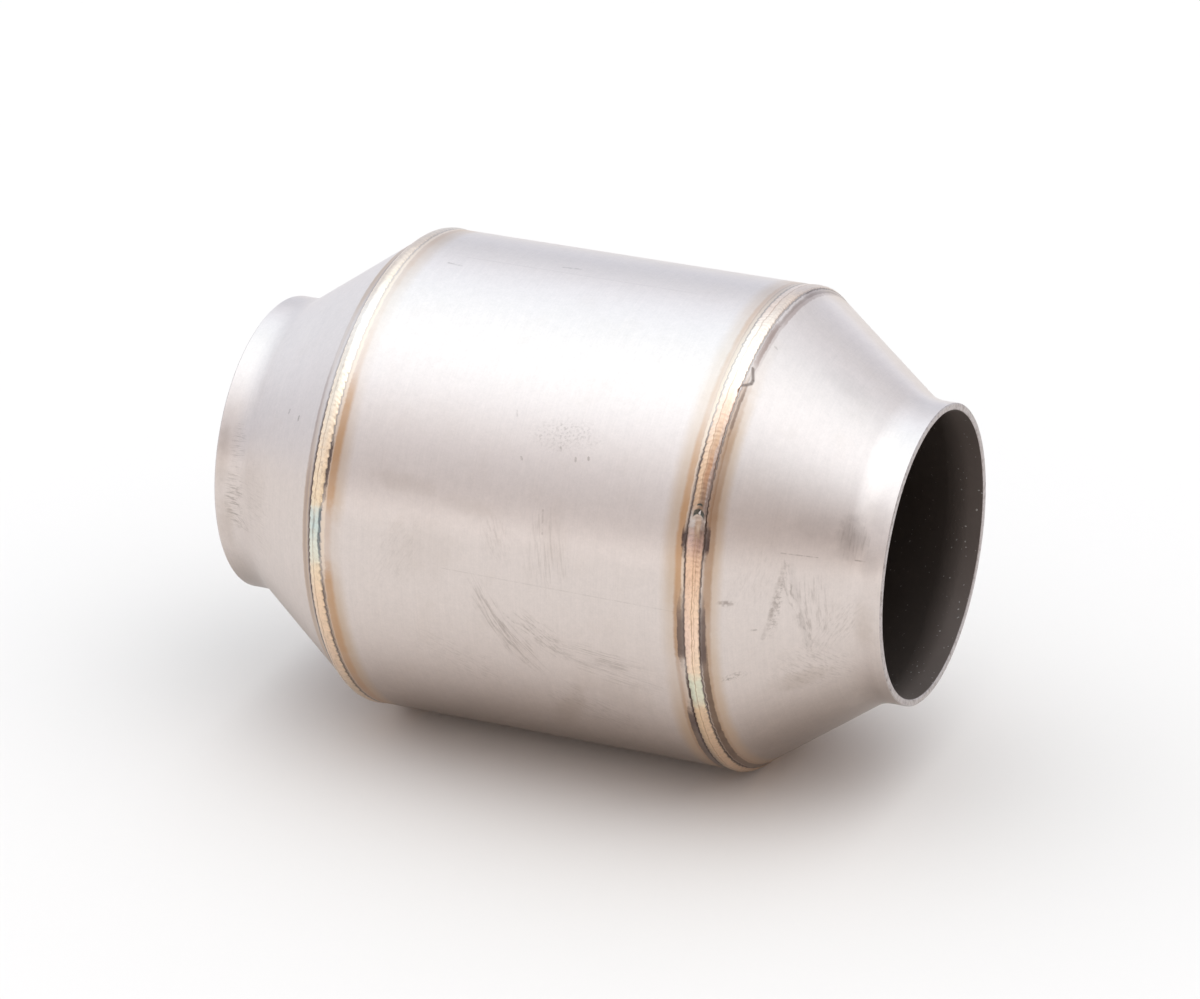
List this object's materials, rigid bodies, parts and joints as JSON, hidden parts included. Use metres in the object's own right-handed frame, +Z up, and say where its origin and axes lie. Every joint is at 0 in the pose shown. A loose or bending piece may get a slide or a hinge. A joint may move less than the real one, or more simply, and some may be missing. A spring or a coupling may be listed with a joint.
{
  "type": "catalytic converter",
  "caption": "Round in-line catalytic converter: brushed stainless barrel with spun cones, pipe necks, girth welds and a wound foil matrix inside.",
  "frame": {"origin": "on the gas axis, midway between the two neck ends", "axes": "+X along the gas axis from inlet to outlet, +Z up"},
  "size_m": [0.189, 0.1292, 0.1292],
  "materials": {
    "body_sheet": "stainless sheet, brushed round the axis, straw heat tint beside the welds",
    "weld_metal": "as-welded, rippled, pale gold tint with dark toes",
    "mantle_sheet": "plain heat-resistant steel sheet",
    "coated_foil": "matt catalyst coating on steel foil"
  },
  "bodies": {
    "root": {"barrel_shell": "body_sheet", "barrel_seam_weld": "body_sheet", "inlet_cone": "body_sheet", "outlet_cone": "body_sheet", "inlet_girth_weld": "weld_metal", "outlet_girth_weld": "weld_metal", "matrix_mantle": "mantle_sheet", "mantle_seam_weld": "mantle_sheet", "flat_foil": "coated_foil", "corrugated_foil": "coated_foil", "mantle_stitch_weld_1": "weld_metal", "mantle_stitch_weld_2": "weld_metal", "mantle_stitch_weld_3": "weld_metal", "mantle_stitch_weld_4": "weld_metal"}
  },
  "joints": []
}
